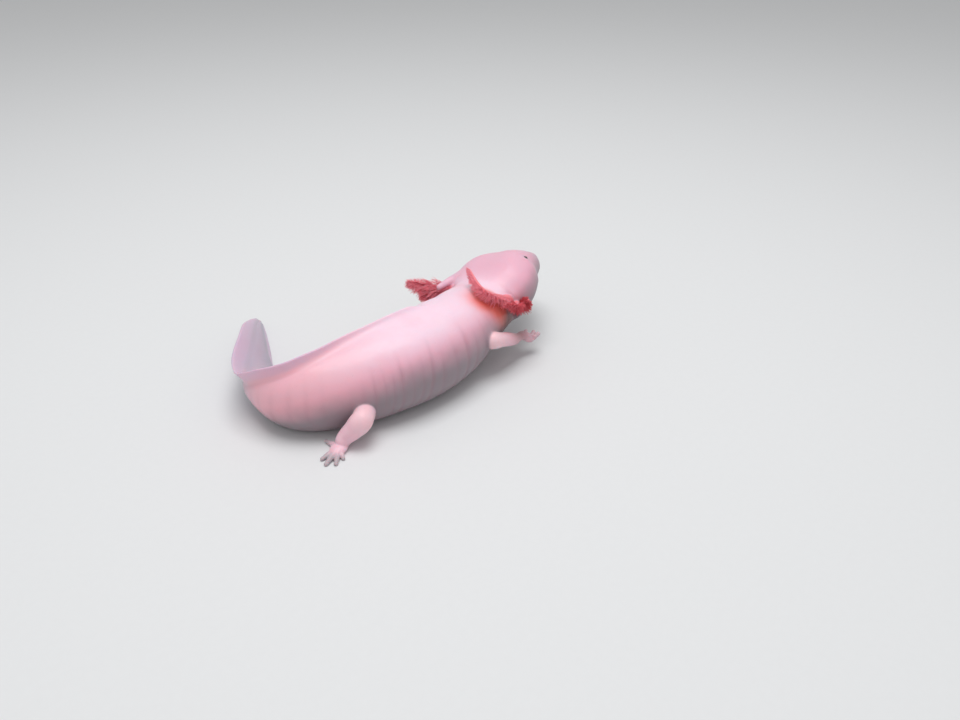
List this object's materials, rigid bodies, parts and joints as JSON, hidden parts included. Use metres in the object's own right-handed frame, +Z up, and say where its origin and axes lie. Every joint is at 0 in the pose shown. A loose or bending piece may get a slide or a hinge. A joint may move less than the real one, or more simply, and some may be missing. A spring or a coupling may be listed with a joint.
{
  "type": "axolotl",
  "caption": "Life-size still axolotl lying on its belly, head raised, feathery gills, legs spread, finned tail curled to one side.",
  "frame": {"origin": "centre of the floor plan, on the floor that the animal rests on", "axes": "+X forwards along the trunk, +Y to the animal's left, +Z up"},
  "size_m": [0.1426, 0.109, 0.0377],
  "materials": {
    "skin": "moist satin skin, pale pink with no dark spots",
    "limb_skin": "moist satin skin, a warmer pink",
    "fin_skin": "thin satin membrane, lavender pink",
    "gill_stalk": "moist satin skin, rose",
    "gill_plume": "soft moist filaments, deep red",
    "eye": "glossy, nearly black"
  },
  "bodies": {
    "root": {"head": "skin", "neck": "skin", "chest": "skin", "belly": "skin", "pelvis": "skin", "tail_base": "skin", "tail_middle": "skin", "tail_tip": "skin", "eye_right": "eye", "eye_left": "eye", "fin_back": "fin_skin", "fin_tail_front": "fin_skin", "fin_tail_rear": "fin_skin", "fin_under_tail": "fin_skin", "upper_arm_right": "limb_skin", "forearm_right": "limb_skin", "hand_right": "limb_skin", "upper_arm_left": "limb_skin", "forearm_left": "limb_skin", "hand_left": "limb_skin", "thigh_right": "limb_skin", "shank_right": "limb_skin", "foot_right": "limb_skin", "thigh_left": "limb_skin", "shank_left": "limb_skin", "foot_left": "limb_skin", "gill_stalk_right_1": "gill_stalk", "gill_plume_right_1": "gill_plume", "gill_stalk_right_2": "gill_stalk", "gill_plume_right_2": "gill_plume", "gill_stalk_right_3": "gill_stalk", "gill_plume_right_3": "gill_plume", "gill_stalk_left_1": "gill_stalk", "gill_plume_left_1": "gill_plume", "gill_stalk_left_2": "gill_stalk", "gill_plume_left_2": "gill_plume", "gill_stalk_left_3": "gill_stalk", "gill_plume_left_3": "gill_plume"}
  },
  "joints": []
}
